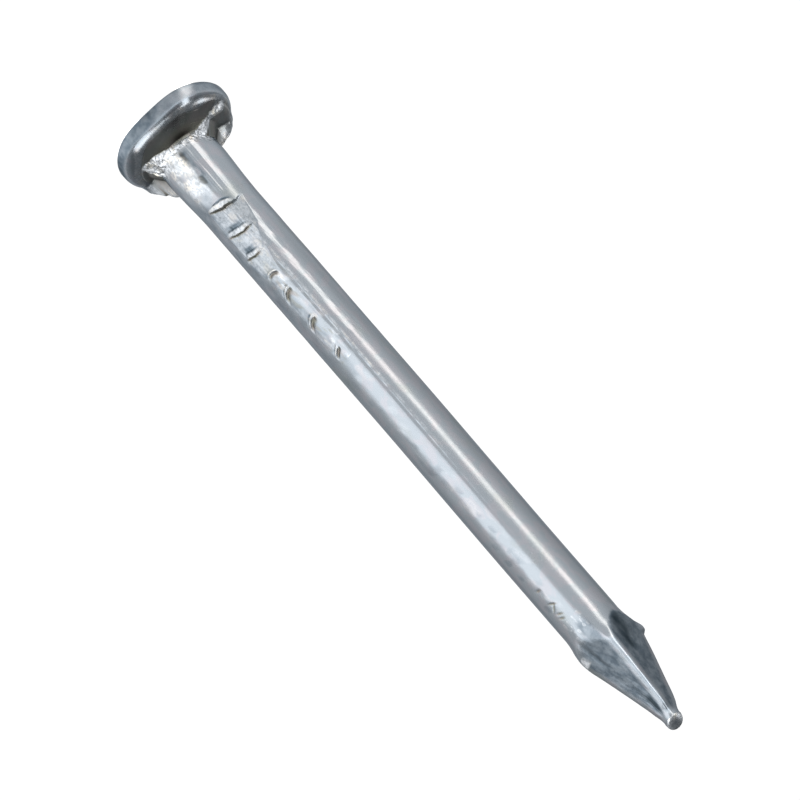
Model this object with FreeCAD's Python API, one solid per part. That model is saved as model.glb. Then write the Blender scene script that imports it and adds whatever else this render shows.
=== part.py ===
"""Zinc-plated steel wire nail, 1 1/2 inch under the head, standing on its head with its point up.

Units are millimetres. The Z axis is the axis of the wire, and the origin is where that axis
meets the flat, struck face of the head. +Z runs from the head to the point. -Y is the front.
The nail is one piece of wire. It is written here as the five lengths that the forming tools
leave behind, each a closed solid that meets the next one on a flat cross-section:
head, neck, gripped_shank, shank and point.
"""
import FreeCAD, Part
import math
import os

# The wire and the overall length
WIRE_RADIUS = 1.4
LENGTH_UNDER_HEAD = 38.1
HEAD_THICKNESS = 1.3
OVERALL_LENGTH = HEAD_THICKNESS + LENGTH_UNDER_HEAD

# Where one formed length ends and the next begins, above the struck face
NECK_END = 5.2
GRIPPED_END = 15.5
SHANK_END = 32.4

# Head: a disc upset a little to one side of the wire, with a fully rounded rim
HEAD_RADIUS = 3.05
HEAD_OFFSET_X = -0.2
RIM_RADIUS = HEAD_THICKNESS / 2

# Neck: a small fillet on the head, then a slight taper down to the wire
NECK_RADIUS = 1.5
NECK_FILLET_RADIUS = 0.45
NECK_FILLET_BULGE = math.sqrt(0.5)

# Gussets: webs between the neck and the head, squeezed up between the gripping dies
GUSSET_WIDTH = 0.5
GUSSET_REACH = 2.15
GUSSET_EDGE_HEIGHT = 0.15
GUSSET_ROOT_HEIGHT = 1.3
GUSSET_AZIMUTHS = (-116.0, -60.0, 78.0, 116.0)

# Grip marks: notches that the teeth of the two gripping dies leave across the wire.
# Each is (height above the struck face, half of its width across the wire).
GRIP_MARKS = ((5.6, 0.63), (6.9, 0.63), (8.0, 0.55), (9.5, 0.41), (11.1, 0.36), (12.8, 0.36), (14.6, 0.25))
GRIP_TOOTH_RADIUS = 0.22
GRIP_AZIMUTH = -20.0
DIE_COUNT = 2

# Point: four facets pinched off, with the squeezed-out metal standing as a fin at each corner
FACET_ANGLE = 9.93
FACET_START = 32.7
POINT_TWIST = 9.0
FIN_RADIUS = 1.6
FIN_START = 33.1
FIN_CREST = 34.15
FACET_END = 38.9

# Nib: the blunt, slightly bent end that is left where the next nail was pinched off
NIB_RADIUS = 0.42
NIB_BASE = 37.9
NIB_ROUNDING = 0.3
NIB_OFFSET_X = 0.06

Z_AXIS = FreeCAD.Vector(0, 0, 1)


def azimuth_to_plan_angle(azimuth):
    """Turn an azimuth, counted from the front (-Y) towards -X, into a rotation about Z in degrees."""
    return -90.0 - azimuth


def revolved(edges):
    """Close a half profile in the XZ plane and revolve it about the Z axis."""
    face = Part.Face(Part.Wire(edges))
    return face.revolve(FreeCAD.Vector(0, 0, 0), Z_AXIS, 360)


def profile_point(radius, height):
    return FreeCAD.Vector(radius, 0, height)


def line(start, end):
    return Part.makeLine(profile_point(*start), profile_point(*end))


def arc(start, middle, end):
    return Part.Arc(profile_point(*start), profile_point(*middle), profile_point(*end)).toShape()


def make_head():
    """Disc with a flat struck face, a flat bearing face and a half-round rim."""
    flat_radius = HEAD_RADIUS - RIM_RADIUS
    edges = [
        line((0, 0), (flat_radius, 0)),
        arc((flat_radius, 0), (HEAD_RADIUS, RIM_RADIUS), (flat_radius, HEAD_THICKNESS)),
        line((flat_radius, HEAD_THICKNESS), (0, HEAD_THICKNESS)),
        line((0, HEAD_THICKNESS), (0, 0)),
    ]
    head = revolved(edges)
    head.translate(FreeCAD.Vector(HEAD_OFFSET_X, 0, 0))
    return head


def make_gusset(azimuth):
    """Web that falls from the neck to the bearing face of the head."""
    top = HEAD_THICKNESS + GUSSET_ROOT_HEIGHT
    corners = [
        profile_point(0, HEAD_THICKNESS),
        profile_point(GUSSET_REACH, HEAD_THICKNESS),
        profile_point(GUSSET_REACH, HEAD_THICKNESS + GUSSET_EDGE_HEIGHT),
        profile_point(WIRE_RADIUS, top),
        profile_point(0, top),
    ]
    web = Part.Face(Part.makePolygon(corners + corners[:1])).extrude(FreeCAD.Vector(0, GUSSET_WIDTH, 0))
    web.translate(FreeCAD.Vector(0, -GUSSET_WIDTH / 2, 0))
    web.rotate(FreeCAD.Vector(0, 0, 0), Z_AXIS, azimuth_to_plan_angle(azimuth))
    return web


def make_neck():
    """Fillet and tapered neck under the head, with its gussets."""
    fillet_top = HEAD_THICKNESS + NECK_FILLET_RADIUS
    foot_radius = NECK_RADIUS + NECK_FILLET_RADIUS
    sag = NECK_FILLET_RADIUS * (1 - NECK_FILLET_BULGE)
    edges = [
        line((0, HEAD_THICKNESS), (foot_radius, HEAD_THICKNESS)),
        arc((foot_radius, HEAD_THICKNESS), (NECK_RADIUS + sag, HEAD_THICKNESS + sag), (NECK_RADIUS, fillet_top)),
        line((NECK_RADIUS, fillet_top), (WIRE_RADIUS, NECK_END)),
        line((WIRE_RADIUS, NECK_END), (0, NECK_END)),
        line((0, NECK_END), (0, HEAD_THICKNESS)),
    ]
    gussets = [make_gusset(azimuth) for azimuth in GUSSET_AZIMUTHS]
    return revolved(edges).multiFuse(gussets).removeSplitter()


def make_grip_tooth(height, half_width, azimuth):
    """Round-nosed bar laid across the wire, sunk until its notch is as wide as the mark."""
    notch_floor = math.sqrt(WIRE_RADIUS**2 - half_width**2)
    start = FreeCAD.Vector(notch_floor + GRIP_TOOTH_RADIUS, -WIRE_RADIUS, height)
    tooth = Part.makeCylinder(GRIP_TOOTH_RADIUS, 2 * WIRE_RADIUS, start, FreeCAD.Vector(0, 1, 0))
    tooth.rotate(FreeCAD.Vector(0, 0, 0), Z_AXIS, azimuth_to_plan_angle(azimuth))
    return tooth


def make_gripped_shank():
    """Length of wire held by the two dies while the head was struck."""
    base = FreeCAD.Vector(0, 0, NECK_END)
    wire = Part.makeCylinder(WIRE_RADIUS, GRIPPED_END - NECK_END, base)
    teeth = []
    for die in range(DIE_COUNT):
        azimuth = GRIP_AZIMUTH + die * 360.0 / DIE_COUNT
        for height, half_width in GRIP_MARKS:
            teeth.append(make_grip_tooth(height, half_width, azimuth))
    return wire.cut(teeth)


def make_shank():
    """Plain drawn wire between the gripped length and the point."""
    base = FreeCAD.Vector(0, 0, GRIPPED_END)
    return Part.makeCylinder(WIRE_RADIUS, SHANK_END - GRIPPED_END, base)


def facet_distance(height):
    """Distance of the four facets from the axis at one height."""
    return WIRE_RADIUS + (FACET_START - height) * math.tan(math.radians(FACET_ANGLE))


def square_section(height):
    """Square wire whose corners face the front, the back and the two sides."""
    corner_radius = facet_distance(height) * math.sqrt(2)
    corners = []
    for corner in range(4):
        angle = math.radians(azimuth_to_plan_angle(POINT_TWIST + corner * 90.0))
        corners.append(FreeCAD.Vector(corner_radius * math.cos(angle), corner_radius * math.sin(angle), height))
    return Part.makePolygon(corners + corners[:1])


def make_point():
    """Four-sided point: a tapering square bar inside a round envelope that flares into fins."""
    bar = Part.makeLoft([square_section(SHANK_END), square_section(FACET_END)], True, True)
    envelope = revolved([
        line((0, SHANK_END), (WIRE_RADIUS, SHANK_END)),
        line((WIRE_RADIUS, SHANK_END), (WIRE_RADIUS, FIN_START)),
        line((WIRE_RADIUS, FIN_START), (FIN_RADIUS, FIN_CREST)),
        line((FIN_RADIUS, FIN_CREST), (FIN_RADIUS, FACET_END)),
        line((FIN_RADIUS, FACET_END), (0, FACET_END)),
        line((0, FACET_END), (0, SHANK_END)),
    ])
    return bar.common(envelope).fuse(make_nib()).removeSplitter()


def make_nib():
    """Short round stub with a rounded end, set slightly off the axis."""
    stub = Part.makeCylinder(NIB_RADIUS, OVERALL_LENGTH - NIB_BASE, FreeCAD.Vector(NIB_OFFSET_X, 0, NIB_BASE))
    end_edge = max(stub.Edges, key=lambda edge: edge.CenterOfMass.z)
    return stub.makeFillet(NIB_ROUNDING, [end_edge])


def main():
    os.makedirs("parts", exist_ok=True)
    solids = {
        "head": make_head(),
        "neck": make_neck(),
        "gripped_shank": make_gripped_shank(),
        "shank": make_shank(),
        "point": make_point(),
    }
    for name, shape in solids.items():
        shape.exportStep(f"parts/{name}.step")
        print(f"{name}: {len(shape.Solids)} solid, {shape.Volume:.2f} mm3, valid {shape.isValid()}")


main()
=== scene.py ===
"""Looks of a zinc-plated wire nail that stands on its head.

Shapes are worked out in millimetres and azimuths in degrees. An azimuth is 0 at the front (-Y)
and grows towards -X. Each piece is one closed skin over the length of wire that one forming
tool shaped, and it meets the next piece ring to ring.
"""
import math

import bpy
import numpy as np
from mathutils import Matrix, Vector


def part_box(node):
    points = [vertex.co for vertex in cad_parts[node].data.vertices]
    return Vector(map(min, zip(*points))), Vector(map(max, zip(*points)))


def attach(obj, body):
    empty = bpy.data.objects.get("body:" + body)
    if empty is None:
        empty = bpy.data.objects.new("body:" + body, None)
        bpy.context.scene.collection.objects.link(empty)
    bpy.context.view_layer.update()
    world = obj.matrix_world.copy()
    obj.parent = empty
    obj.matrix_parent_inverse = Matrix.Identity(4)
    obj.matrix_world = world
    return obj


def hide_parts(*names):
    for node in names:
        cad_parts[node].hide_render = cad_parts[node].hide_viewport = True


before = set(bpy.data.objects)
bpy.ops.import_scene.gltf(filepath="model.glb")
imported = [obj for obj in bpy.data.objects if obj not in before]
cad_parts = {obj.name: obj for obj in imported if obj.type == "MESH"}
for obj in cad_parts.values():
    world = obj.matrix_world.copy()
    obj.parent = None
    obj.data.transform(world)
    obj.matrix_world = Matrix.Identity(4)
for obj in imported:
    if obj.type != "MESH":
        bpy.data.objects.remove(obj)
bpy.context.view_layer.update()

MM = 0.001

# ---------------------------------------------------------------- sizes from the CAD frame
head_low, head_high = [np.array(corner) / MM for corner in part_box("head")]
neck_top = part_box("neck")[1][2] / MM
gripped_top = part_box("gripped_shank")[1][2] / MM
shank_low, shank_high = [np.array(corner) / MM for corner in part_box("shank")]
tip_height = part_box("point")[1][2] / MM

wire_radius = (shank_high[0] - shank_low[0]) / 2
head_radius = (head_high[1] - head_low[1]) / 2
head_thickness = head_high[2]
head_offset = -(head_high[0] + head_low[0]) / 2    # towards azimuth 90
shank_top = shank_high[2]

# ---------------------------------------------------------------- mesh resolution
HEAD_SEGMENTS = 480
WIRE_SEGMENTS = 320
POINT_SEGMENTS = 400
FACE_RINGS = 26
RIM_RINGS = 55
UNDERSIDE_RINGS = 67
NECK_RINGS = 97
MARKED_ROW_STEP = 0.036            # between rows along the wire, where it is marked or cut
PLAIN_ROW_STEP = 0.06


# ---------------------------------------------------------------- small maths helpers
def smoothstep(low, high, value):
    """0 below low, 1 above high, and a smooth rise between them."""
    t = np.clip((value - low) / (high - low), 0.0, 1.0)
    return t * t * (3.0 - 2.0 * t)


def bump(centre, half_width, value):
    """Smooth hill of height 1, with its foot half_width away from its centre."""
    return 1.0 - smoothstep(0.0, half_width, np.abs(value - centre))


def band(low, high, edge, value):
    """1 between low and high, falling smoothly to 0 over the edge width outside them."""
    return smoothstep(low - edge, low, value) * (1.0 - smoothstep(high, high + edge, value))


def soft_min(first, second, reach):
    """Smaller of two lengths, rounded over about one reach where they cross."""
    overlap = np.clip(1.0 - np.abs(first - second) / reach, 0.0, None)
    return np.minimum(first, second) - overlap * overlap * reach / 4


def turn(azimuth, centre):
    """Signed azimuth difference in degrees, between -180 and 180."""
    return (azimuth - centre + 180.0) % 360.0 - 180.0


def lattice_value(cell, seed):
    """Repeatable random number between -1 and 1 for each whole-number cell."""
    x, y, z = [cell[..., axis].astype(np.int64).astype(np.uint64) for axis in range(3)]
    mixed = x * np.uint64(73856093) ^ y * np.uint64(19349663) ^ z * np.uint64(83492791)
    mixed = (mixed ^ np.uint64(seed * 2654435761)) * np.uint64(0x9E3779B97F4A7C15)
    mixed = (mixed ^ (mixed >> np.uint64(29))) * np.uint64(0xBF58476D1CE4E5B9)
    mixed = mixed ^ (mixed >> np.uint64(32))
    return (mixed & np.uint64(0xFFFFFF)).astype(float) / 0x7FFFFF - 1.0


# The noise cells are turned about the nail's axis and sheared along it, so that their faces lie
# neither straight across the wire nor square to its front
NOISE_AXES = np.array([[0.84, 0.50, 0.31], [-0.52, 0.87, 0.23], [0.0, 0.0, 1.0]])


def noise(points, scale, seed):
    """Smooth value noise between -1 and 1, with features about one scale (mm) across.

    Each seed gives a pattern of its own, so every use here has its own seed.
    """
    places = points / np.asarray(scale, dtype=float) @ NOISE_AXES
    cell = np.floor(places)
    part = places - cell
    part = part**3 * (part * (6.0 * part - 15.0) + 10.0)
    total = 0.0
    for corner in np.ndindex(2, 2, 2):
        weight = np.ones(points.shape[:-1])
        for axis in range(3):
            weight = weight * (part[..., axis] if corner[axis] else 1.0 - part[..., axis])
        total = total + weight * lattice_value(cell + np.array(corner), seed)
    return total


def on_wire(azimuth, height, radius=None):
    """Points on the wire, in millimetres, as x, y, z."""
    radius = wire_radius if radius is None else radius
    azimuth, height, radius = np.broadcast_arrays(azimuth, height, radius)
    angle = np.radians(azimuth)
    return np.stack([-radius * np.sin(angle), -radius * np.cos(angle), height], axis=-1)


def ring_azimuths(segments):
    return np.arange(segments) * 360.0 / segments


def rows_between(low, high, step):
    return np.linspace(low, high, max(2, int(round((high - low) / step)) + 1))


def sideways(height):
    """How far the wire's axis lies towards azimuth 90 at a height: it is very slightly bowed."""
    bow = -0.045 * smoothstep(18.0, 28.0, height)
    return bow * (1.0 - smoothstep(33.0, 36.0, height))


# ---------------------------------------------------------------- building a piece
def make_piece(name, rings, marks, material, close_with_caps=(True, True)):
    """Closed mesh through rings of points. marks are per-point numbers that the material reads."""
    rows, columns = rings.shape[:2]
    points = rings.reshape(-1, 3) * MM
    low_centre = rings[0].mean(axis=0) * MM
    high_centre = rings[-1].mean(axis=0) * MM
    points = np.vstack([points, low_centre, high_centre])
    column = np.arange(columns)
    after = (column + 1) % columns
    quads = []
    for row in range(rows - 1):
        start = row * columns
        quads.append(np.stack([start + column, start + columns + column,
                               start + columns + after, start + after], axis=1))
    low_index = rows * columns
    high_index = low_index + 1
    last = (rows - 1) * columns
    low_fan = np.stack([np.full(columns, low_index), column, after], axis=1)
    high_fan = np.stack([np.full(columns, high_index), last + after, last + column], axis=1)
    faces = np.concatenate(quads).tolist() + low_fan.tolist() + high_fan.tolist()

    mesh = bpy.data.meshes.new(name)
    mesh.from_pydata(points.tolist(), [], faces)
    mesh.shade_smooth()
    sharp = mesh.attributes.new("sharp_edge", "BOOLEAN", "EDGE")
    ends = np.empty(len(mesh.edges) * 2, dtype=np.int64)
    mesh.edges.foreach_get("vertices", ends)
    ends = ends.reshape(-1, 2)
    on_low_ring = (ends < columns).all(axis=1) & close_with_caps[0]
    on_high_ring = ((ends >= last) & (ends < last + columns)).all(axis=1) & close_with_caps[1]
    sharp.data.foreach_set("value", on_low_ring | on_high_ring)
    for mark, values in marks.items():
        flat = np.concatenate([np.broadcast_to(values, (rows, columns)).reshape(-1), [0.0, 0.0]])
        mesh.attributes.new(mark, "FLOAT", "POINT").data.foreach_set("value", flat.astype(np.float32))
    mesh.materials.append(material)
    piece = bpy.data.objects.new(name, mesh)
    bpy.context.scene.collection.objects.link(piece)
    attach(piece, "root")
    return piece


# ---------------------------------------------------------------- material
def add_node(tree, kind, **settings):
    node = tree.nodes.new(kind)
    for key, value in settings.items():
        setattr(node, key, value)
    return node


def maths(tree, operation, first, second=0.0, clamp=False):
    node = add_node(tree, "ShaderNodeMath", operation=operation, use_clamp=clamp)
    for socket, value in zip(node.inputs, (first, second)):
        if isinstance(value, bpy.types.NodeSocket):
            tree.links.new(value, socket)
        else:
            socket.default_value = value
    return node.outputs[0]


def remap(tree, value, low, high, to_low=0.0, to_high=1.0, smooth=True):
    node = add_node(tree, "ShaderNodeMapRange",
                    interpolation_type="SMOOTHSTEP" if smooth else "LINEAR")
    tree.links.new(value, node.inputs["Value"])
    for key, number in (("From Min", low), ("From Max", high), ("To Min", to_low), ("To Max", to_high)):
        node.inputs[key].default_value = number
    return node.outputs["Result"]


def mix_colour(tree, factor, first, second):
    node = add_node(tree, "ShaderNodeMix", data_type="RGBA")
    sockets = [socket for socket in node.inputs if socket.type == "RGBA"]
    for socket, value in ((node.inputs["Factor"], factor), (sockets[0], first), (sockets[1], second)):
        if isinstance(value, bpy.types.NodeSocket):
            tree.links.new(value, socket)
        else:
            socket.default_value = value
    return [socket for socket in node.outputs if socket.type == "RGBA"][0]


def grain(tree, coordinates, per_mm, stretch=1.0, detail=2.0, roughness=0.5, distortion=0.0):
    """Noise between 0 and 1 with per_mm features to a millimetre, drawn out along the wire by stretch."""
    scaled = add_node(tree, "ShaderNodeMapping")
    tree.links.new(coordinates, scaled.inputs["Vector"])
    scaled.inputs["Scale"].default_value = (1.0 / MM, 1.0 / MM, 1.0 / MM / stretch)
    node = add_node(tree, "ShaderNodeTexNoise")
    tree.links.new(scaled.outputs["Vector"], node.inputs["Vector"])
    node.inputs["Scale"].default_value = per_mm
    node.inputs["Detail"].default_value = detail
    node.inputs["Roughness"].default_value = roughness
    node.inputs["Distortion"].default_value = distortion
    return node.outputs["Fac"]


BLUISH = (0.312, 0.345, 0.378, 1.0)
LAVENDER = (0.340, 0.352, 0.384, 1.0)
GREENISH = (0.305, 0.336, 0.350, 1.0)
DARK_SLATE = (0.115, 0.145, 0.175, 1.0)
LIGHT_SLATE = (0.215, 0.25, 0.285, 1.0)
DEEP_SLATE = (0.040, 0.056, 0.068, 1.0)
COLD_WHITE = (0.88, 0.91, 0.95, 1.0)
CREAM = (0.93, 0.89, 0.80, 1.0)
SPECKLE_GREY = (0.50, 0.52, 0.54, 1.0)
OLIVE = (0.235, 0.235, 0.200, 1.0)
BROWNISH = (0.255, 0.235, 0.215, 1.0)
SHADE_BLACK = (0.045, 0.040, 0.032, 1.0)


def make_zinc():
    """Bright zinc electroplate: bluish grey and faintly tinted, with marks read from the mesh.

    The mark for dullness and shade is slate at 1, where metal is cut or rubbed, and deep slate at 2;
    it also carries painted shade on the rim's side, the wire's left side, in grooves and pits, down
    the neck and on the point. The mark for speckle and highlight is the light speckle of torn or
    polished metal, and painted highlights on lips, burrs, the draw line, the neck and the rim. The
    mark for soiling and shade is olive soiling at 0.6, and painted shade that goes to near black at 1.
    """
    material = bpy.data.materials.new("zinc_plate_look")
    material.use_nodes = True
    tree = material.node_tree
    shader = tree.nodes["Principled BSDF"]
    coordinates = add_node(tree, "ShaderNodeTexCoord").outputs["Object"]
    grime_and_shade = add_node(tree, "ShaderNodeAttribute", attribute_name="grime_and_shade").outputs["Fac"]
    dull_and_shade = add_node(tree, "ShaderNodeAttribute", attribute_name="dull_and_shade").outputs["Fac"]
    frost_and_highlight = add_node(tree, "ShaderNodeAttribute", attribute_name="frost_and_highlight").outputs["Fac"]

    clouds = grain(tree, coordinates, 0.9, stretch=2.5, detail=3.0)
    tints = grain(tree, coordinates, 1.9, stretch=1.6, detail=2.0, distortion=0.6)
    mottle = grain(tree, coordinates, 2.6, stretch=1.3, detail=3.0, roughness=0.55)
    speckle = grain(tree, coordinates, 9.0, stretch=1.5, detail=3.0, roughness=0.6)
    draw_lines = grain(tree, coordinates, 11.0, stretch=26.0, detail=3.0, roughness=0.6)

    colour = mix_colour(tree, remap(tree, tints, 0.45, 0.62), BLUISH, LAVENDER)
    colour = mix_colour(tree, remap(tree, clouds, 0.55, 0.72), colour, GREENISH)
    slate = mix_colour(tree, remap(tree, mottle, 0.34, 0.66), DARK_SLATE, LIGHT_SLATE)
    # Slate for cut or rubbed metal, and for painted shade
    colour = mix_colour(tree, remap(tree, dull_and_shade, 0.0, 1.0, smooth=False), colour, slate)
    colour = mix_colour(tree, remap(tree, dull_and_shade, 1.0, 2.0, smooth=False), colour, DEEP_SLATE)
    white = mix_colour(tree, remap(tree, tints, 0.48, 0.60), COLD_WHITE, CREAM)
    # Light speckle for torn metal, and for painted highlights
    torn = mix_colour(tree, remap(tree, speckle, 0.36, 0.58), SPECKLE_GREY, white)
    colour = mix_colour(tree, frost_and_highlight, colour, torn)
    # Olive to brown soiling, and near black where the painted shade is deepest
    dirt_and_shade = mix_colour(tree, remap(tree, tints, 0.4, 0.6), OLIVE, BROWNISH)
    colour = mix_colour(tree, remap(tree, grime_and_shade, 0.0, 0.6, smooth=False), colour, dirt_and_shade)
    colour = mix_colour(tree, remap(tree, grime_and_shade, 0.6, 1.0), colour, SHADE_BLACK)
    tree.links.new(colour, shader.inputs["Base Color"])

    gloss = remap(tree, clouds, 0.35, 0.7, 0.19, 0.26)
    gloss = maths(tree, "ADD", gloss, remap(tree, speckle, 0.3, 0.8, -0.02, 0.04))
    gloss = maths(tree, "ADD", gloss, maths(tree, "MULTIPLY", dull_and_shade, 0.14))
    gloss = maths(tree, "ADD", gloss, maths(tree, "MULTIPLY", frost_and_highlight, 0.22))
    gloss = maths(tree, "ADD", gloss, maths(tree, "MULTIPLY", grime_and_shade, 0.20), clamp=True)
    tree.links.new(gloss, shader.inputs["Roughness"])
    shader.inputs["Metallic"].default_value = 1.0
    shader.inputs["Specular Tint"].default_value = (0.38, 0.40, 0.42, 1.0)

    fine = add_node(tree, "ShaderNodeBump")
    fine.inputs["Strength"].default_value = 0.5
    fine.inputs["Distance"].default_value = 0.004 * MM
    tree.links.new(draw_lines, fine.inputs["Height"])
    pits = add_node(tree, "ShaderNodeBump")
    pits.inputs["Strength"].default_value = 0.4
    pits.inputs["Distance"].default_value = 0.006 * MM
    tree.links.new(speckle, pits.inputs["Height"])
    tree.links.new(fine.outputs["Normal"], pits.inputs["Normal"])
    tree.links.new(pits.outputs["Normal"], shader.inputs["Normal"])
    return material


zinc = make_zinc()


# ---------------------------------------------------------------- head: struck face and rim
RIM_END_ANGLE = 30.0               # how far up round the rim this skin goes before the neck's starts
LOWER_RIM = 0.45                   # rounding at the struck face
FLATTENED_FRONT = (-4.0, 46.0)     # middle and half width, in degrees, of the flattened outline
FLATTENED_DEPTH = 0.25
FACE_WEAR = 0.012                  # unevenness of the struck face
FACE_DULLNESS = 0.5
upper_rim = head_thickness / 2     # rounding at the underside
rim_centre = head_radius - upper_rim


def head_outline(azimuth):
    """Radius of the head about its own centre: slightly out of round, and flatter at the front."""
    ripple = 0.012 * np.sin(np.radians(2 * azimuth + 40)) + 0.008 * np.sin(np.radians(5 * azimuth))
    flattened = -FLATTENED_DEPTH * bump(*FLATTENED_FRONT, turn(azimuth, 0.0))
    return head_radius - 0.01 + ripple + flattened


def build_head():
    """Skin of the struck face and the outside of the rim. Returns its last ring."""
    azimuth = ring_azimuths(HEAD_SEGMENTS)
    front = turn(azimuth, 0.0)
    outline = head_outline(azimuth)
    rings = []
    dull_and_shade = []
    for share in np.linspace(0.02, 1.0, FACE_RINGS):
        radius = (outline - LOWER_RIM) * share
        points = on_wire(azimuth, 0.0, radius)
        points[..., 2] = FACE_WEAR * (1.0 + noise(points, 0.35, 3)) * smoothstep(1.0, 0.8, share)
        rings.append(points)
        dull_and_shade.append(np.full_like(azimuth, FACE_DULLNESS))
    for angle in np.linspace(-90.0, RIM_END_ANGLE, RIM_RINGS + 1)[1:]:
        rounding = LOWER_RIM if angle < 0.0 else upper_rim
        radius = outline - rounding + rounding * math.cos(math.radians(angle))
        height = rounding + rounding * math.sin(math.radians(angle))
        points = on_wire(azimuth, height, radius)
        swell = 0.010 * noise(points, (1.2, 1.2, 0.7), 5) * smoothstep(0.0, 0.3, height)
        swell = swell * smoothstep(0.97, 0.80, height)
        points = on_wire(azimuth, height, radius + swell)
        rings.append(points)
        # Painted shade: on top of the struck face's dullness, the rim's outer side is darkened to slate, most
        # from the front round to the left, fading out up the rim
        rubbed = FACE_DULLNESS + 0.60 * smoothstep(12.0, -12.0, front)
        rubbed = rubbed + 0.35 * noise(points, (0.8, 0.8, 0.4), 7)
        dull_and_shade.append(np.clip(rubbed, 0.0, 1.4) * (1.0 - smoothstep(5.0, 26.0, angle)))
    rings = np.array(rings)
    rings[..., 0] -= head_offset
    piece = make_piece("head_skin", rings, {"dull_and_shade": np.array(dull_and_shade)}, zinc, (False, True))
    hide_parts("head")
    return rings[-1]


# ---------------------------------------------------------------- neck: underside of the head and fillet
NECK_RADIUS_GAIN = 0.12            # how much thicker than the wire the neck is under its taper
TAPER_START = 2.2
FOOT_RADIUS = 1.5
RIM_FOOT_HEIGHT = 1.33             # where the hollow starts inside the rim
HOLLOW_DEPTH = 0.13                # how much lower it starts where the rim is narrow
HOLLOW_TOP = 1.74                  # where the hollow meets the neck
SKIRT_AZIMUTHS = (-66.0, -7.0)     # torn skirt left of the neck's front
SKIRT_SPREAD = 0.0155              # how far its foot spreads for each degree to the left
WALL_DISTANCE = 1.16               # straight wall at the right, ahead of the wire's middle
WALL_SLANT = 0.22
WALL_REACH = 0.50
WALL_SLOPE = 0.85
BACK_HOLLOW_HALF = 51.0            # half width, in degrees, of the plain hollow at the back
# The left and the right web: azimuth, then the crest's distances from the axis and its heights
WEBS = (
    (-116.0, (1.50, 1.82, 2.18, 2.45, 2.84, 2.95), (2.92, 2.67, 2.30, 1.96, 1.50, 1.00)),
    (116.0, (1.50, 1.68, 2.22, 2.60, 2.85, 2.95), (2.50, 2.26, 1.98, 1.66, 1.28, 1.00)),
)
LEFT_WEB_GAP = 2.12                # distance from the axis of the notch through the left web


def neck_radius(height):
    return wire_radius + NECK_RADIUS_GAIN * (1.0 - smoothstep(TAPER_START, neck_top + 0.2, height))


def hollow_edge(side):
    """Radius where the hollow meets the rim, further in at the left and at one place on the right."""
    return 2.72 - 0.40 * smoothstep(-22.0, -62.0, side) - 0.22 * bump(38.0, 24.0, side)


def hollow_height(radius, edge):
    """Smooth hollow that the mouth of a gripping die leaves under the head."""
    share = np.clip(edge - radius, 0.0, None) / (edge - FOOT_RADIUS)
    start = RIM_FOOT_HEIGHT - HOLLOW_DEPTH * smoothstep(2.40, 2.70, edge)
    return start + (HOLLOW_TOP - start) * (0.73 * share + 0.27 * share**2)


def pocket_floor(radius, rim_height, rise):
    """Floor of a pocket beside a web: a step up from the rim, then a cone up to the neck."""
    inner = 1.0 - smoothstep(2.45, 2.9, radius)
    cone = 1.3 * np.clip(1.95 - radius, 0.0, None)
    return rim_height + rise * inner + cone


def left_underside(side, radius, ragged, edge, hollow):
    """Left of the front, a torn skirt that climbs the neck and then a pocket, and how torn it is."""
    foot = FOOT_RADIUS + SKIRT_SPREAD * np.clip(SKIRT_AZIMUTHS[1] - side, 0.0, 60.0) + ragged
    rise = np.clip(foot - radius, 0.0, None)
    skirt = np.where(rise > 0.0, hollow_height(foot, edge) + rise, hollow)
    on_skirt = smoothstep(-1.5, 1.5, side - SKIRT_AZIMUTHS[0] + 30.0 * ragged)
    pocket = pocket_floor(radius, 1.27, 0.09)
    return pocket + (skirt - pocket) * on_skirt, smoothstep(0.0, 0.06, rise) * on_skirt


def right_underside(side, radius, ragged, hollow):
    """Right of the front, a straight wall and then a pocket behind it, and how torn the wall is."""
    ahead = radius * np.cos(np.radians(side)) + ragged
    beside = radius * np.sin(np.radians(side))
    wall_line = WALL_DISTANCE - WALL_SLANT * (beside - 1.2)
    climb = np.clip(wall_line - ahead, 0.0, WALL_REACH) * WALL_SLOPE
    torn = smoothstep(0.0, 0.05, climb) * (1.0 - smoothstep(0.26, 0.36, climb)) * (side > 40.0)
    return np.minimum(hollow + climb, pocket_floor(radius, 1.25, 0.25)), torn


def under_rim(radius, edge, height):
    """Height held below the round of the rim, with a soft edge where the hollow starts."""
    past_rim = np.clip(radius - rim_centre, 0.0, upper_rim)
    tube = upper_rim + np.sqrt(upper_rim**2 - past_rim**2) + 3.0 * np.clip(edge - radius, 0.0, None)
    return soft_min(tube, height + 2.0 * np.clip(radius - edge, 0.0, None), 0.08)


def add_webs(azimuth, radius, points, height):
    """Height raised to the crests of the webs, and 1 where the metal is a web."""
    web = np.zeros_like(height)
    for centre, crest_radii, crest_heights in WEBS:
        across = np.radians(np.abs(turn(azimuth, centre))) * radius + 0.05 * noise(points, 0.3, 17)
        here = 1.0 - smoothstep(0.05, 0.36, across)
        crest = np.interp(radius, crest_radii, crest_heights)
        height = height + np.clip(crest - height, 0.0, None) * here
        web = np.maximum(web, here)
    return height, web


def underside_grime_and_shade(side, radius, edge, torn, web):
    """Olive tone in the hollow, and painted shade that darkens it to near black in the corner beside the
    neck. Torn metal, webs and the rim stay clean.
    """
    in_front = 1.0 - smoothstep(60.0, 75.0, np.abs(side))
    near_neck = smoothstep(2.3, 1.6, radius)
    grime_and_shade = in_front * (0.42 + 0.30 * near_neck + 0.25 * near_neck * bump(14.0, 30.0, side))
    grime_and_shade = np.maximum(grime_and_shade, (0.30 + 0.2 * near_neck) * (1.0 - in_front))
    return grime_and_shade * (1.0 - torn) * (1.0 - 0.9 * web) * smoothstep(0.14, -0.04, radius - edge)


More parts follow.
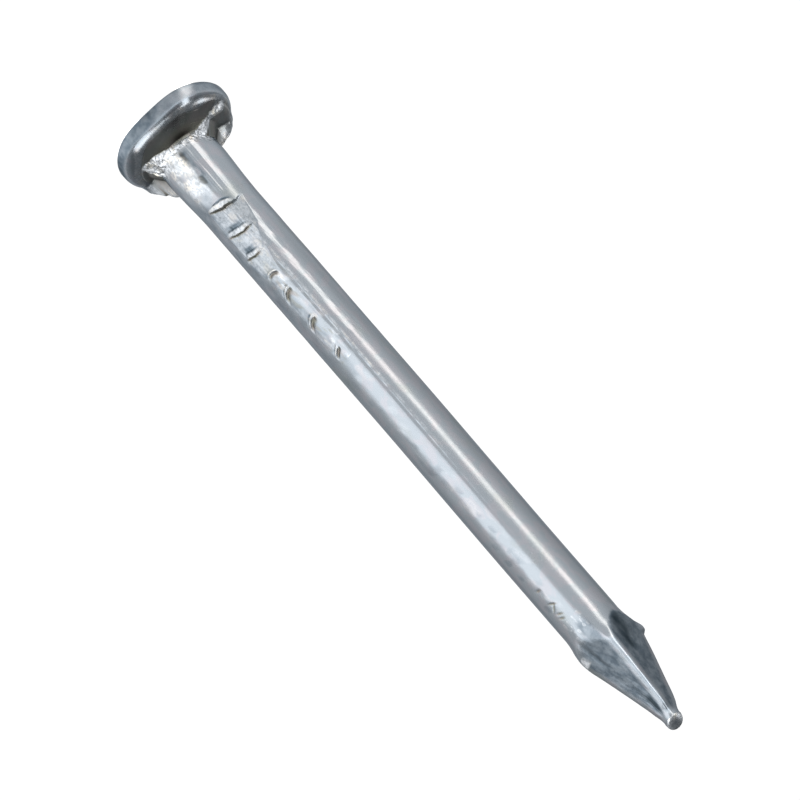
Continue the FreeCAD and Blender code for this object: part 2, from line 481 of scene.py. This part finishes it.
def underside(azimuth, radius, outline):
    """Height of the underside of the head, and its marks: soiling with painted shade, and torn metal with
    painted light.
    """
    side = turn(azimuth, 0.0)
    radius = radius + (head_radius - outline) * smoothstep(1.7, 2.5, radius)
    points = on_wire(azimuth, 1.5, radius)
    ragged = 0.05 * noise(points, 0.20, 11) + 0.03 * noise(points, 0.09, 12)
    edge = hollow_edge(side)
    hollow = hollow_height(radius, edge)
    left, left_torn = left_underside(side, radius, ragged, edge, hollow)
    right, right_torn = right_underside(side, radius, ragged, hollow)
    height = np.where(side < 0.0, left, right)
    torn = np.where(side < 0.0, left_torn, right_torn)
    from_back = np.abs(turn(azimuth, 180.0))
    behind = 1.0 - smoothstep(-1.5, 1.5, from_back - BACK_HOLLOW_HALF + 60.0 * ragged)
    height = height + (hollow - height) * behind

    torn_foot = 0.7 * bump(FOOT_RADIUS, 0.16, radius) * (1.0 - smoothstep(40.0, 60.0, np.abs(side)))
    torn = np.maximum(torn, torn_foot)
    foot_lip = 0.08 * smoothstep(1.62, 1.52, radius) * (1.0 - smoothstep(30.0, 50.0, np.abs(side)))
    height = under_rim(radius, edge, height + foot_lip)
    torn = torn * smoothstep(0.15, 0.0, radius - edge)
    height, web = add_webs(azimuth, radius, points, height)
    height = height + 0.022 * torn * noise(points, 0.08, 21)
    height = height + 0.02 * web * noise(points, (0.12, 0.12, 1.0), 23)

    grime_and_shade = underside_grime_and_shade(side, radius, edge, torn, web)
    # Painted light: light speckle on the rim's inner slope just outside the hollow, and in the pockets beside
    # the webs, so that they read lighter
    scuffed = 0.40 * band(0.02, 0.34, 0.12, radius - edge) * (0.7 + 0.5 * noise(points, 0.5, 25))
    torn = np.maximum(np.maximum(torn, scuffed), 0.6 * web)
    in_pocket = (np.abs(side) > 66.0) * (1.0 - behind) * smoothstep(0.05, -0.10, radius - edge)
    torn = np.maximum(torn, 0.30 * in_pocket)
    # Painted shade: the notch through the left web is darkened as well as lowered
    gap = bump(LEFT_WEB_GAP, 0.20, radius + ragged) * web * (side < 0.0)
    torn = torn * (1.0 - gap)
    grime_and_shade = np.maximum(grime_and_shade, 0.7 * gap)
    height = height - 0.12 * gap
    return height, np.clip(grime_and_shade, 0.0, 1.0), np.clip(torn, 0.0, 1.0)


def neck_relief(points, front, share, height):
    """Lines along the front of the neck, unevenness at its left, and fine texture."""
    near_foot = 1.0 - smoothstep(0.0, 0.16, share)
    lines = 0.014 * bump(7.0, 4.0, front) - 0.010 * bump(-3.0, 6.0, front) + 0.006 * bump(20.0, 4.0, front)
    pressed = 0.026 * noise(points, (0.45, 0.45, 0.6), 30) * band(-56.0, -14.0, 14.0, front)
    texture = 0.005 * noise(points, (0.2, 0.2, 0.8), 31) + 0.02 * near_foot * noise(points, 0.12, 33)
    return (lines + pressed + texture) * smoothstep(neck_top, neck_top - 0.3, height)


def neck_marks(points, front, share):
    """Soiling; torn metal at the foot with a painted highlight left of the front; and painted shade as a
    streak down the front and further left, in that order.
    """
    near_foot = 1.0 - smoothstep(0.0, 0.16, share)
    patches = smoothstep(-0.1, 0.5, noise(points, (0.3, 0.3, 0.5), 35))
    grime_and_shade = 0.18 * bump(-9.0, 12.0, front) * patches * band(0.15, 0.85, 0.1, share)
    # Painted shade: a dark streak down the front of the neck, between its highlights
    shade_streak = 2.0 * bump(-7.0, 16.0, front) * patches * band(0.15, 0.75, 0.1, share)
    # Painted shade further left near the top, and a painted highlight in light patches in the bright band
    # left of the front
    painted_shade = 0.55 * band(-62.0, -26.0, 10.0, front) * smoothstep(0.55, 0.95, share)
    pale = smoothstep(-0.5, 0.4, noise(points, (0.3, 0.3, 0.45), 36)) * band(-42.0, -14.0, 12.0, front)
    frost_and_highlight = np.maximum(0.8 * near_foot * (np.abs(front) < 66.0), 0.95 * pale * (1.0 - share**2))
    return grime_and_shade, frost_and_highlight, np.maximum(shade_streak, painted_shade)


def build_neck(first_ring):
    """Skin that goes on from the head's last ring: over the rim, through the hollow and up the neck."""
    azimuth = ring_azimuths(HEAD_SEGMENTS)
    front = turn(azimuth, 0.0)
    start_radius = np.hypot(first_ring[:, 0] + head_offset, first_ring[:, 1])
    outline = head_outline(azimuth)
    zeros = np.zeros_like(azimuth)
    rings, grime_and_shade, frost_and_highlight, dull_and_shade = [first_ring], [zeros], [zeros], [zeros]
    for share in np.linspace(0.0, 1.0, UNDERSIDE_RINGS + 1)[1:]:
        radius = start_radius + (FOOT_RADIUS - start_radius) * share
        height, dirt_and_shade, torn = underside(azimuth, radius, outline)
        points = on_wire(azimuth, height, radius)
        points[..., 0] -= head_offset * (1.0 - smoothstep(0.0, 1.0, share))
        rings.append(points)
        grime_and_shade.append(dirt_and_shade)
        frost_and_highlight.append(torn)
        dull_and_shade.append(zeros)
    foot = rings[-1][:, 2]
    for share in np.linspace(0.0, 1.0, NECK_RINGS + 1)[1:] ** 1.25:
        height = foot + (neck_top - foot) * share
        radius = FOOT_RADIUS + (neck_radius(height) - FOOT_RADIUS) * smoothstep(0.0, 0.25, share)
        relief = neck_relief(on_wire(azimuth, height), front, share, height)
        points = on_wire(azimuth, height, radius + relief)
        rings.append(points)
        dirt_and_shade, pale, painted_shade = neck_marks(points, front, share)
        grime_and_shade.append(dirt_and_shade)
        frost_and_highlight.append(pale)
        dull_and_shade.append(painted_shade)
    marks = {"grime_and_shade": np.array(grime_and_shade), "frost_and_highlight": np.array(frost_and_highlight), "dull_and_shade": np.array(dull_and_shade)}
    piece = make_piece("neck_skin", np.array(rings), marks, zinc)
    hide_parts("neck")


# ---------------------------------------------------------------- gripped shank
DIE_TURNS = (0.0, 180.0)           # two equal dies grip the wire from opposite sides
# Scalloped flat of one gripping die: its depths at a few heights along the wire, then its half
# width and the azimuth that it faces, each as a row of heights and a row of values
CUT_HEIGHTS = (5.66, 5.74, 7.19, 7.27, 8.48, 8.55, 9.85)
CUT_DEPTHS = (0.00, 0.18, 0.08, 0.18, 0.06, 0.13, 0.00)
CUT_HALF_WIDTHS = ((5.6, 7.2, 8.5, 9.8), (0.98, 0.86, 0.68, 0.45))
CUT_FACES = ((5.4, 7.2, 8.4, 9.8), (-5.0, -13.0, -25.0, -26.0))
CUT_SLANT = 0.16                   # lean of the scallops across the wire
CUT_BEND = 0.22                    # and how much they curve
# Teeth of the die: height of the steep wall, and middle, half width and length of its lip, which
# lies on the head's side of the wall
TEETH = ((5.68, -0.28, 0.78, 0.25), (7.21, -0.18, 0.80, 0.23), (8.49, -0.16, 0.52, 0.20))
# Small pits of the same die: height, azimuth, length along, half width across, lean
PITS = (
    (9.72, -25.0, 0.30, 0.36, 0.25),
    (10.93, -27.0, 0.46, 0.36, -0.45),
    (12.83, -28.0, 0.44, 0.34, -0.45),
    (14.82, -28.0, 0.32, 0.26, -0.60),
)
PIT_DEPTH = 0.09


def die_cut(azimuth, height, shift):
    """Radius left by the die's flat, and its marks: painted shade at the teeth's walls; slate on the cut
    metal, with painted shade before the lips and in the grooves; and light speckle on the flats, with painted
    highlights on the lips.
    """
    face = turn(azimuth, np.interp(height, *CUT_FACES))
    across = np.radians(face) * wire_radius
    near = np.clip(across, -0.9, 0.9)
    place = height + shift - CUT_SLANT * near + CUT_BEND * near**2
    depth = np.interp(place, CUT_HEIGHTS, CUT_DEPTHS)
    off_face = np.abs(across) / np.interp(place, *CUT_HALF_WIDTHS) * (1.0 + 1.2 * shift)
    cut = depth * np.clip(1.0 - off_face**2, 0.0, 1.0)
    radius = wire_radius - cut
    inside = smoothstep(0.0, 0.03, cut)
    grime_and_shade = np.zeros_like(radius)
    dull_and_shade = 0.40 * inside + 0.40 * smoothstep(0.0, 0.006, cut) * (1.0 - smoothstep(0.010, 0.060, cut))
    frost_and_highlight = 0.24 * inside
    for wall_height, middle, half_width, lip_length in TEETH:
        ahead = place - wall_height
        off_middle = np.abs(across - middle) / half_width
        width = 1.0 - smoothstep(0.55, 1.0, off_middle)
        lip_start = -lip_length * (1.15 - 0.65 * np.clip(off_middle, 0.0, 1.0) ** 2)
        past_start = smoothstep(lip_start - 0.05, lip_start + 0.03, ahead)
        lip = past_start * (1.0 - smoothstep(-0.03, 0.02, ahead)) * width
        groove = bump(-0.08, 0.12, ahead - lip_start) * width
        wall = bump(0.03, 0.09, ahead) * width
        radius = radius + lip * (0.020 + 0.06 * (ahead - lip_start)) - 0.015 * groove
        # Painted shade: a soft grey band before each lip, deep slate in its groove and a dark line at its
        # wall. Painted highlight: light speckle on the lip
        crescent = 1.0 - smoothstep(0.25, 1.0, off_middle)
        shade = band(-0.48, -0.22, 0.18, ahead) * crescent * inside * (1.0 - lip)
        grime_and_shade = np.maximum(grime_and_shade * (1.0 - lip), 0.80 * wall)
        frost_and_highlight = np.maximum(frost_and_highlight * (1.0 - wall) * (1.0 - shade), 0.50 * lip)
        dull_and_shade = np.maximum(dull_and_shade, np.maximum(shade, 1.5 * groove * (1.0 - lip)))
    return radius, grime_and_shade, dull_and_shade, frost_and_highlight


def pit_relief(azimuth, height, pit):
    """Height change of one small pit, steep on its head side, and its marks: painted shade in the hollow and
    in the groove, and a painted highlight on the burr.
    """
    start, centre, length, half_across, lean = pit
    across = np.radians(turn(azimuth, centre)) * wire_radius
    along = height - start - lean * across
    curved = along - 0.9 * across**2
    width = 1.0 - smoothstep(0.45, 1.0, np.abs(across) / half_across)
    hollow = smoothstep(0.0, 0.09, curved) * (1.0 - smoothstep(0.15, 1.0, curved / length)) * width
    burr = bump(-0.05, 0.08, curved) * width
    groove = bump(-0.16, 0.08, curved) * width
    relief = 0.020 * burr - PIT_DEPTH * hollow - 0.025 * groove
    return relief, 0.82 * hollow, 1.4 * groove, burr


def handled_marks(points, azimuth, height):
    """Painted shade left of the front, lower down and in patches higher up, and painted highlights beside the
    draw line and in patches in the bright band.
    """
    front = turn(azimuth, 0.0)
    uneven = 0.85 + 0.6 * noise(points, (0.35, 0.35, 0.9), 49)
    # Painted shade: darker slate along the left side of the wire, below about 14.5 to 18 mm
    dull_and_shade = 0.55 * band(-62.0, -26.0, 10.0, front) * (1.0 - smoothstep(14.5, 18.0, height)) * uneven
    # Painted highlight beside the draw line
    painted_highlights = 0.40 * bump(4.5, 4.0, front) * band(8.4, 17.0, 1.0, height)
    painted_highlights = painted_highlights + 0.20 * bump(4.5, 4.0, front) * band(17.0, 21.0, 2.0, height)
    painted_highlights = painted_highlights * (0.75 + 0.5 * noise(points, (9.0, 9.0, 0.2), 50))
    # Painted highlight: light patches in the bright band
    clouds = smoothstep(0.0, 0.6, noise(points, (0.30, 0.30, 0.55), 52)) * smoothstep(8.0, 10.0, height)
    painted_highlights = np.maximum(painted_highlights, 0.08 * clouds * band(-40.0, -12.0, 8.0, front))
    # Painted shade in patches along the bright band's left edge, higher up
    shade_patches = smoothstep(0.1, 0.6, noise(points, (0.28, 0.28, 0.50), 57)) * smoothstep(12.0, 16.0, height)
    dull_and_shade = np.maximum(dull_and_shade, 0.38 * shade_patches * band(-50.0, -26.0, 10.0, front))
    return np.clip(dull_and_shade, 0.0, 1.0), painted_highlights


def gripped_surface(azimuth, height):
    """Radius of the gripped shank, its marks, and the points on the plain wire that they are made at."""
    points = on_wire(azimuth, height)
    wander = 0.045 * noise(points, (0.42, 0.42, 2.0), 41) + 0.014 * noise(points, (0.12, 0.12, 2.0), 42)
    radius = np.full(points.shape[:-1], wire_radius)
    marks = {mark: np.zeros_like(radius) for mark in ("grime_and_shade", "dull_and_shade", "frost_and_highlight")}
    for turned in DIE_TURNS:
        cut, grime_and_shade, dull_and_shade, frost_and_highlight = die_cut(azimuth - turned, height, wander)
        radius = np.where(np.abs(cut - wire_radius) > np.abs(radius - wire_radius), cut, radius)
        for mark, values in (("grime_and_shade", grime_and_shade), ("dull_and_shade", dull_and_shade), ("frost_and_highlight", frost_and_highlight)):
            marks[mark] = np.maximum(marks[mark], values)
    scored = smoothstep(0.0, 0.03, wire_radius - radius)
    radius = radius + scored * 0.008 * noise(points, (0.07, 0.07, 0.45), 45)
    stripes = 0.5 + noise(points, (0.07, 0.07, 0.35), 46)
    marks["dull_and_shade"] = marks["dull_and_shade"] + 0.40 * scored * (smoothstep(0.0, 1.0, stripes) - 0.5)
    rubbed = bump(-20.0, 30.0, turn(azimuth, 0.0)) * smoothstep(9.0, 10.0, height)
    soiled = smoothstep(0.1, 0.6, noise(points, (0.12, 0.12, 0.5), 47))
    scuffed = smoothstep(0.0, 0.6, noise(points, (0.2, 0.2, 0.4), 48))
    marks["grime_and_shade"] = np.maximum(marks["grime_and_shade"], 0.32 * rubbed * soiled)
    marks["frost_and_highlight"] = np.maximum(marks["frost_and_highlight"], 0.45 * rubbed * scuffed)
    painted_shade, painted_highlights = handled_marks(points, azimuth, height)
    marks["dull_and_shade"] = marks["dull_and_shade"] + painted_shade
    marks["frost_and_highlight"] = np.maximum(marks["frost_and_highlight"], painted_highlights)
    for turned in DIE_TURNS:
        for pit in PITS:
            relief, dirt_and_shade, groove, burr = pit_relief(azimuth - turned, height + 0.8 * wander, pit)
            radius = radius + relief
            # Painted shade in the pit and its groove, and a painted highlight on its burr
            marks["grime_and_shade"] = np.maximum(marks["grime_and_shade"], dirt_and_shade)
            marks["dull_and_shade"] = np.maximum(marks["dull_and_shade"], groove)
            marks["frost_and_highlight"] = np.maximum(marks["frost_and_highlight"], 0.6 * burr)
    marks["dull_and_shade"] = np.clip(marks["dull_and_shade"], 0.0, 2.0)
    return radius, marks, points


def build_gripped_shank():
    azimuth = ring_azimuths(WIRE_SEGMENTS)[None, :]
    height = rows_between(neck_top, gripped_top, MARKED_ROW_STEP)[:, None] + np.zeros_like(azimuth)
    radius, marks, points = gripped_surface(azimuth, height)
    fade = smoothstep(neck_top, neck_top + 0.3, height) * smoothstep(gripped_top, gripped_top - 0.3, height)
    texture = 0.004 * noise(points, (0.25, 0.25, 0.9), 43) + 0.003 * noise(points, (0.1, 0.1, 0.5), 44)
    radius = radius + (texture + wire_waves(points, azimuth)) * fade
    rings = on_wire(azimuth, height, radius)
    rings[..., 0] -= sideways(height)
    piece = make_piece("gripped_shank_skin", rings, marks, zinc)
    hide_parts("gripped_shank")


# ---------------------------------------------------------------- plain shank
NICK_DEPTH = 0.035
# Light nicks near the point: height, azimuth, half length across, lean
NICKS = (
    (30.40, -38.0, 0.22, 0.3),
    (31.35, -33.0, 0.30, 0.7),
    (31.55, -37.0, 0.28, -0.7),
    (31.95, -35.0, 0.28, 0.6),
    (32.18, -37.0, 0.24, 0.5),
)


def wire_waves(points, azimuth):
    """Faint unevenness of drawn wire: long waves, a rubbed stretch and one draw line at the front."""
    front = turn(azimuth, 0.0)
    waves = 0.002 * noise(points, (0.9, 0.9, 3.0), 51)
    rubbed = 0.015 * noise(points, (0.5, 0.5, 0.5), 53) * bump(-38.0, 30.0, front)
    rubbed = rubbed + 0.002 * noise(points, (0.18, 0.18, 0.3), 54) * bump(-25.0, 24.0, front)
    line = -0.012 * bump(-1.2, 4.2, front) * (1.0 + 0.5 * noise(points, (9.0, 9.0, 0.25), 55))
    line = line * smoothstep(8.6, 9.4, points[..., 2]) * (1.0 - smoothstep(18.0, 31.0, points[..., 2]))
    return waves + rubbed + line


def nick_depth(azimuth, height):
    depth = 0.0
    for turned in DIE_TURNS:
        for nick_height, centre, half_length, lean in NICKS:
            across = np.radians(turn(azimuth, centre + turned)) * wire_radius
            along = height - nick_height - lean * across
            depth = depth + NICK_DEPTH * bump(0.0, 0.08, along) * bump(0.0, half_length, across)
    return depth


def build_shank():
    azimuth = ring_azimuths(WIRE_SEGMENTS)[None, :]
    height = rows_between(gripped_top, shank_top, PLAIN_ROW_STEP)[:, None] + np.zeros_like(azimuth)
    points = on_wire(azimuth, height)
    fade = smoothstep(gripped_top, gripped_top + 0.3, height) * smoothstep(shank_top, shank_top - 0.2, height)
    nicks = nick_depth(azimuth, height)
    radius = wire_radius + fade * (wire_waves(points, azimuth) - nicks)
    rings = on_wire(azimuth, height, radius)
    rings[..., 0] -= sideways(height)
    painted_shade, painted_highlights = handled_marks(points, azimuth, height)
    # Painted shade in the nicks, darker the deeper they go
    marks = {"grime_and_shade": np.clip(nicks * 22.0, 0.0, 0.65) * fade, "dull_and_shade": painted_shade, "frost_and_highlight": painted_highlights}
    piece = make_piece("shank_skin", rings, marks, zinc)
    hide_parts("shank")


# ---------------------------------------------------------------- point
FACET_START = 32.7
FACET_SLOPE = math.tan(math.radians(9.93))
RIDGE_AZIMUTH = 9.0
BURR_AZIMUTH = 99.0
BURR_REACH = 0.15                  # how far it stands out from the ridge that it is on
NIB_RADIUS = 0.435
NIB_START = 38.3
NIB_LEAN = 0.07
NIB_DROP = 0.17                    # how far the sheared end is lowered on the axis
NIB_TILT = (0.14, 0.33)            # slope of the sheared end along X and Y


def facet_radius(azimuth, height):
    """Four nearly flat facets with rounded ridges between them, each ridge blunter towards its ends."""
    distance = np.maximum(wire_radius + (FACET_START - height) * FACET_SLOPE, 0.2)
    sharpness = 4.6 + 2.6 * smoothstep(33.2, 35.2, height) - 2.0 * smoothstep(36.8, 38.6, height)
    distance = distance * 1.012 * 2.0 ** (1.0 / sharpness)
    total = 0.0
    for facet in range(4):
        centre = RIDGE_AZIMUTH - 45.0 + 90.0 * facet
        facing = np.clip(np.cos(np.radians(turn(azimuth, centre))), 0.02, None)
        total = total + (facing / distance) ** sharpness
    return total ** (-1.0 / sharpness)


def envelope_radius(azimuth, height):
    """Round wire that flares where the cutters squeezed metal out at the corners."""
    left = 0.15 * smoothstep(32.6, 34.1, height)
    right = 0.18 * smoothstep(33.1, 34.6, height)
    side = (1.0 + np.sin(np.radians(azimuth))) / 2
    return wire_radius + left * (1.0 - side) + right * side


def point_surface(points, azimuth, height):
    """Radius of the point, how deep the cutters went in at each place, and 1 where the nib is."""
    front = turn(azimuth, 0.0)
    facets = facet_radius(azimuth, height)
    pocket = 0.05 * bump(50.0, 28.0, front) * band(33.7, 35.0, 0.8, height)
    crease = 0.018 * bump(-46.0, 9.0, front) * band(33.5, 35.0, 0.5, height)
    dents = 0.012 * noise(points, (0.5, 0.5, 0.8), 61) + 0.003 * noise(points, (0.15, 0.15, 0.25), 62)
    facets = facets - pocket - crease + dents
    ragged = 0.012 * noise(points, 0.35, 63) * (1.0 - band(-20.0, 30.0, 20.0, front))
    envelope = envelope_radius(azimuth, height) + ragged * smoothstep(32.6, 33.2, height)
    burr = BURR_REACH * bump(BURR_AZIMUTH, 15.0, azimuth) * smoothstep(33.9, 34.55, height)
    burr = burr * smoothstep(34.85, 34.62, height)
    rounding = 0.10 + 0.34 * smoothstep(34.8, 33.2, height) * band(-22.0, 6.0, 12.0, front)
    radius = soft_min(facets, envelope, rounding) + burr
    cap = np.clip((height - (tip_height - 0.16)) / 0.16, 0.0, 1.0)
    end_round = 1.0 - np.sqrt(1.0 - 0.98 * cap**2)
    nib = NIB_RADIUS - 0.14 * end_round + 0.012 * bump(tip_height - 0.38, 0.12, height)
    nib_share = smoothstep(NIB_START, NIB_START + 0.8, height)
    radius = radius * (1.0 - nib_share) + nib * nib_share
    start = smoothstep(shank_top, shank_top + 0.25, height)
    return wire_radius + (radius - wire_radius) * start, envelope - facets, nib_share


def point_marks(points, azimuth, height, radius, cut_depth, nib_share):
    """Dulled cut metal on the facets with painted shade in a pocket, a crease and a spot before the nib, and
    pale spots where metal is torn or sheared.
    """
    front = turn(azimuth, 0.0)
    on_ridge = np.zeros_like(height)
    for corner in range(4):
        from_ridge = np.radians(np.abs(turn(azimuth, RIDGE_AZIMUTH + 90.0 * corner))) * radius
        on_ridge = np.maximum(on_ridge, 1.0 - smoothstep(0.15, 0.30, from_ridge))
    depth = cut_depth + 0.07 * noise(points, 0.25, 64)
    on_left = smoothstep(6.0, -6.0, front)
    cut = smoothstep(-0.10 + 0.08 * on_left, 0.04 + 0.16 * on_left, depth) * (1.0 - nib_share)
    started = 0.75 * band(-20.0, 2.0, 10.0, front) * band(33.2, 34.2, 0.5, height)
    dull_and_shade = np.maximum(cut, started) * (1.0 - on_ridge)
    clouds = 0.75 + 0.5 * noise(points, (0.3, 0.3, 0.5), 65)
    # Painted shade: the right facet's pocket, the left facet's crease, and a shadow spot left of the ridge
    # just before the nib
    deep = 0.9 * clouds * bump(50.0, 30.0, front) * band(33.8, 35.0, 0.7, height)
    deep = deep + 0.35 * bump(-46.0, 9.0, front) * band(33.5, 35.0, 0.5, height)
    deep = deep + 0.9 * bump(-24.0, 26.0, front) * band(37.8, 38.4, 0.4, height)
    dull_and_shade = dull_and_shade * (1.0 + deep)
    chatter = smoothstep(0.15, 0.45, noise(points, (0.13, 0.13, 0.16), 66)) * band(32.5, 33.3, 0.3, height)
    chatter = chatter * band(-42.0, -8.0, 8.0, front)
    bright_edge = bump(-72.0, 14.0, front) * band(34.15, 34.5, 0.12, height)
    bright_edge = np.maximum(bright_edge, 0.25 * chatter)
    sheared = smoothstep(tip_height - 0.14, tip_height - 0.08, height)
    return {"dull_and_shade": dull_and_shade * (1.0 - bright_edge), "frost_and_highlight": np.maximum(bright_edge, sheared)}


def build_point():
    azimuth = ring_azimuths(POINT_SEGMENTS)[None, :]
    height = rows_between(shank_top, tip_height - 0.03, MARKED_ROW_STEP)[:, None] + np.zeros_like(azimuth)
    points = on_wire(azimuth, height)
    radius, cut_depth, nib_share = point_surface(points, azimuth, height)
    rings = on_wire(azimuth, height, radius)
    lean = -NIB_LEAN * smoothstep(37.8, 39.0, height)
    end = smoothstep(tip_height - 0.45, tip_height - 0.10, height)
    rings[..., 2] -= end * (NIB_DROP - NIB_TILT[1] * rings[..., 1] - NIB_TILT[0] * rings[..., 0])
    rings[..., 0] -= sideways(height) + lean
    marks = point_marks(points, azimuth, height, radius, cut_depth, nib_share)
    piece = make_piece("point_skin", rings, marks, zinc, (True, False))
    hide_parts("point")


build_neck(build_head())
build_gripped_shank()
build_shank()
build_point()


# ---------------------------------------------------------------- camera
VIEW_ELEVATION = 25.0
HEAD_TO_TIP_ANGLE = -49.06        # direction of the nail in the picture, from the picture's right
CAMERA_DISTANCE = 0.73            # metres
PICTURE_WIDTH = 0.922 * tip_height * MM    # how much the picture takes in at the nail
AIM = Vector((-0.05 * MM, 0.0, 0.462 * tip_height * MM))


def make_camera():
    """Camera in front of the nail and above it, rolled until the nail leans as it should."""
    tilt = math.radians(VIEW_ELEVATION)
    spin = math.radians(HEAD_TO_TIP_ANGLE)
    backward = Vector((0.0, -math.cos(tilt), math.sin(tilt)))
    along = Vector((0.0, math.sin(tilt), math.cos(tilt)))
    across = Vector((-1.0, 0.0, 0.0))
    right = along * math.cos(spin) - across * math.sin(spin)
    up = along * math.sin(spin) + across * math.cos(spin)
    data = bpy.data.cameras.new("camera")
    data.sensor_width = 36.0
    data.lens = data.sensor_width * CAMERA_DISTANCE / PICTURE_WIDTH
    camera = bpy.data.objects.new("camera", data)
    pose = Matrix((right, up, backward)).transposed().to_4x4()
    pose.translation = AIM + backward * CAMERA_DISTANCE
    camera.matrix_world = pose
    bpy.context.scene.collection.objects.link(camera)
    bpy.context.scene.camera = camera


make_camera()


# ---------------------------------------------------------------- floor and light
FLOOR_REACH = 3.0                 # metres
NARROW_WEDGE_BEARING = 43.5
WHITE_LIGHT = (1.0, 1.0, 1.0, 1.0)
WARM_LIGHT = (1.08, 1.0, 0.92, 1.0)
# Name, bearing, elevation, distance, width, height (metres) and radiance
SOFTBOXES = (
    ("key_softbox", -40.0, 35.0, 0.40, 0.30, 0.26, 2.5),
    ("strip_softbox", 43.0, 26.0, 0.40, 0.11, 0.28, 2.7),
    ("rim_softbox", 112.0, 46.0, 0.40, 0.14, 0.14, 2.2),
)


def window(tree, value, centre, half_width, edge):
    """1 within half_width of the centre, and a smooth fall to 0 over the edge width."""
    away = maths(tree, "ABSOLUTE", maths(tree, "SUBTRACT", value, centre))
    return remap(tree, away, half_width, half_width + edge, 1.0, 0.0)


def bearing_of(tree, x, y):
    """Bearing of a place or direction in degrees, counted like an azimuth: 0 towards -Y, 90 towards -X."""
    bearing = maths(tree, "ARCTAN2", maths(tree, "MULTIPLY", x, -1.0), maths(tree, "MULTIPLY", y, -1.0))
    return maths(tree, "MULTIPLY", bearing, 180.0 / math.pi)


def floor_glow(tree, x, y, bearing):
    """Brightness of the light table: 1, and brighter or dimmer in a few soft-edged areas.

    The nail mirrors these areas. Two wedges that run out from it and an area far in front are
    brighter. Areas at both sides, and the far floor away from the front, are dimmer.
    """
    x_squared = maths(tree, "MULTIPLY", x, x)
    away = maths(tree, "SQRT", maths(tree, "ADD", x_squared, maths(tree, "MULTIPLY", y, y)))
    wide_start = remap(tree, bearing, -78.0, -57.0)
    wide = maths(tree, "MULTIPLY", wide_start, remap(tree, bearing, -19.0, -8.0, 1.0, 0.0))
    wide = maths(tree, "MULTIPLY", wide, remap(tree, away, 0.006, 0.022, 0.7, 1.1))
    narrow = maths(tree, "MULTIPLY", window(tree, bearing, NARROW_WEDGE_BEARING, 2.0, 11.0), 1.9)
    side = maths(tree, "ABSOLUTE", bearing)
    beside = maths(tree, "MULTIPLY", maths(tree, "ABSOLUTE", x), 0.92)
    beside = maths(tree, "SUBTRACT", beside, maths(tree, "MULTIPLY", y, 0.39))
    dim = maths(tree, "MULTIPLY", window(tree, side, 120.0, 18.0, 42.0), remap(tree, beside, 0.012, 0.020))
    dim = maths(tree, "MULTIPLY", dim, -0.27)
    far = maths(tree, "MULTIPLY", remap(tree, side, 50.0, 64.0), remap(tree, away, 0.100, 0.140, 0.0, -0.25))
    level = maths(tree, "ADD", maths(tree, "ADD", wide, narrow), maths(tree, "ADD", dim, far))
    ahead = maths(tree, "MULTIPLY", window(tree, bearing, 18.0, 30.0, 22.0), remap(tree, away, 0.12, 0.30))
    return maths(tree, "ADD", level, maths(tree, "ADD", ahead, 1.0))


def make_floor():
    """Light table: a pale floor lit from below, white, and a little warmer in the narrow wedge."""
    mesh = bpy.data.meshes.new("floor")
    corners = [(-1, -1), (1, -1), (1, 1), (-1, 1)]
    mesh.from_pydata([(x * FLOOR_REACH, y * FLOOR_REACH, 0) for x, y in corners], [], [(0, 1, 2, 3)])
    floor = bpy.data.objects.new("floor", mesh)
    bpy.context.scene.collection.objects.link(floor)
    material = bpy.data.materials.new("light_table")
    material.use_nodes = True
    tree = material.node_tree
    shader = tree.nodes["Principled BSDF"]
    place = add_node(tree, "ShaderNodeSeparateXYZ")
    tree.links.new(add_node(tree, "ShaderNodeTexCoord").outputs["Object"], place.inputs[0])
    x, y = place.outputs["X"], place.outputs["Y"]
    bearing = bearing_of(tree, x, y)
    tree.links.new(floor_glow(tree, x, y, bearing), shader.inputs["Emission Strength"])
    warmed = window(tree, bearing, NARROW_WEDGE_BEARING, 4.0, 11.0)
    tint = mix_colour(tree, warmed, WHITE_LIGHT, WARM_LIGHT)
    tree.links.new(tint, shader.inputs["Emission Color"])
    shader.inputs["Base Color"].default_value = (0.1, 0.1, 0.1, 1.0)
    shader.inputs["Roughness"].default_value = 0.9
    mesh.materials.append(material)


def make_softbox(name, bearing, elevation, distance, width, height, radiance):
    """Rectangular soft light that faces the nail. Bearings count like azimuths."""
    data = bpy.data.lights.new(name, "AREA")
    data.shape = "RECTANGLE"
    data.size = width
    data.size_y = height
    data.energy = radiance * width * height * math.pi
    light = bpy.data.objects.new(name, data)
    level = math.cos(math.radians(elevation)) * distance
    place = Vector((-level * math.sin(math.radians(bearing)), -level * math.cos(math.radians(bearing)),
                    distance * math.sin(math.radians(elevation))))
    light.location = place
    light.rotation_euler = place.to_track_quat("Z", "Y").to_euler()
    bpy.context.scene.collection.objects.link(light)


def make_world():
    """Plain sky, brighter near the horizon and with a glow low down in front of the nail."""
    world = bpy.data.worlds.new("studio")
    world.use_nodes = True
    tree = world.node_tree
    background = tree.nodes["Background"]
    direction = add_node(tree, "ShaderNodeSeparateXYZ")
    tree.links.new(add_node(tree, "ShaderNodeTexCoord").outputs["Generated"], direction.inputs[0])
    x, y, z = [direction.outputs[axis] for axis in "XYZ"]
    in_front = window(tree, bearing_of(tree, x, y), 15.0, 40.0, 30.0)
    glow = maths(tree, "MULTIPLY", in_front, remap(tree, z, 0.10, 0.24, 1.4, 0.0))
    sky = remap(tree, z, 0.05, 0.50, 0.45, 0.20)
    tree.links.new(maths(tree, "ADD", glow, sky), background.inputs["Strength"])
    background.inputs["Color"].default_value = (0.93, 0.97, 1.0, 1.0)
    bpy.context.scene.world = world


make_floor()
make_world()
for softbox in SOFTBOXES:
    make_softbox(*softbox)

bpy.context.scene.view_settings.view_transform = "Standard"
bpy.context.scene.view_settings.look = "None"
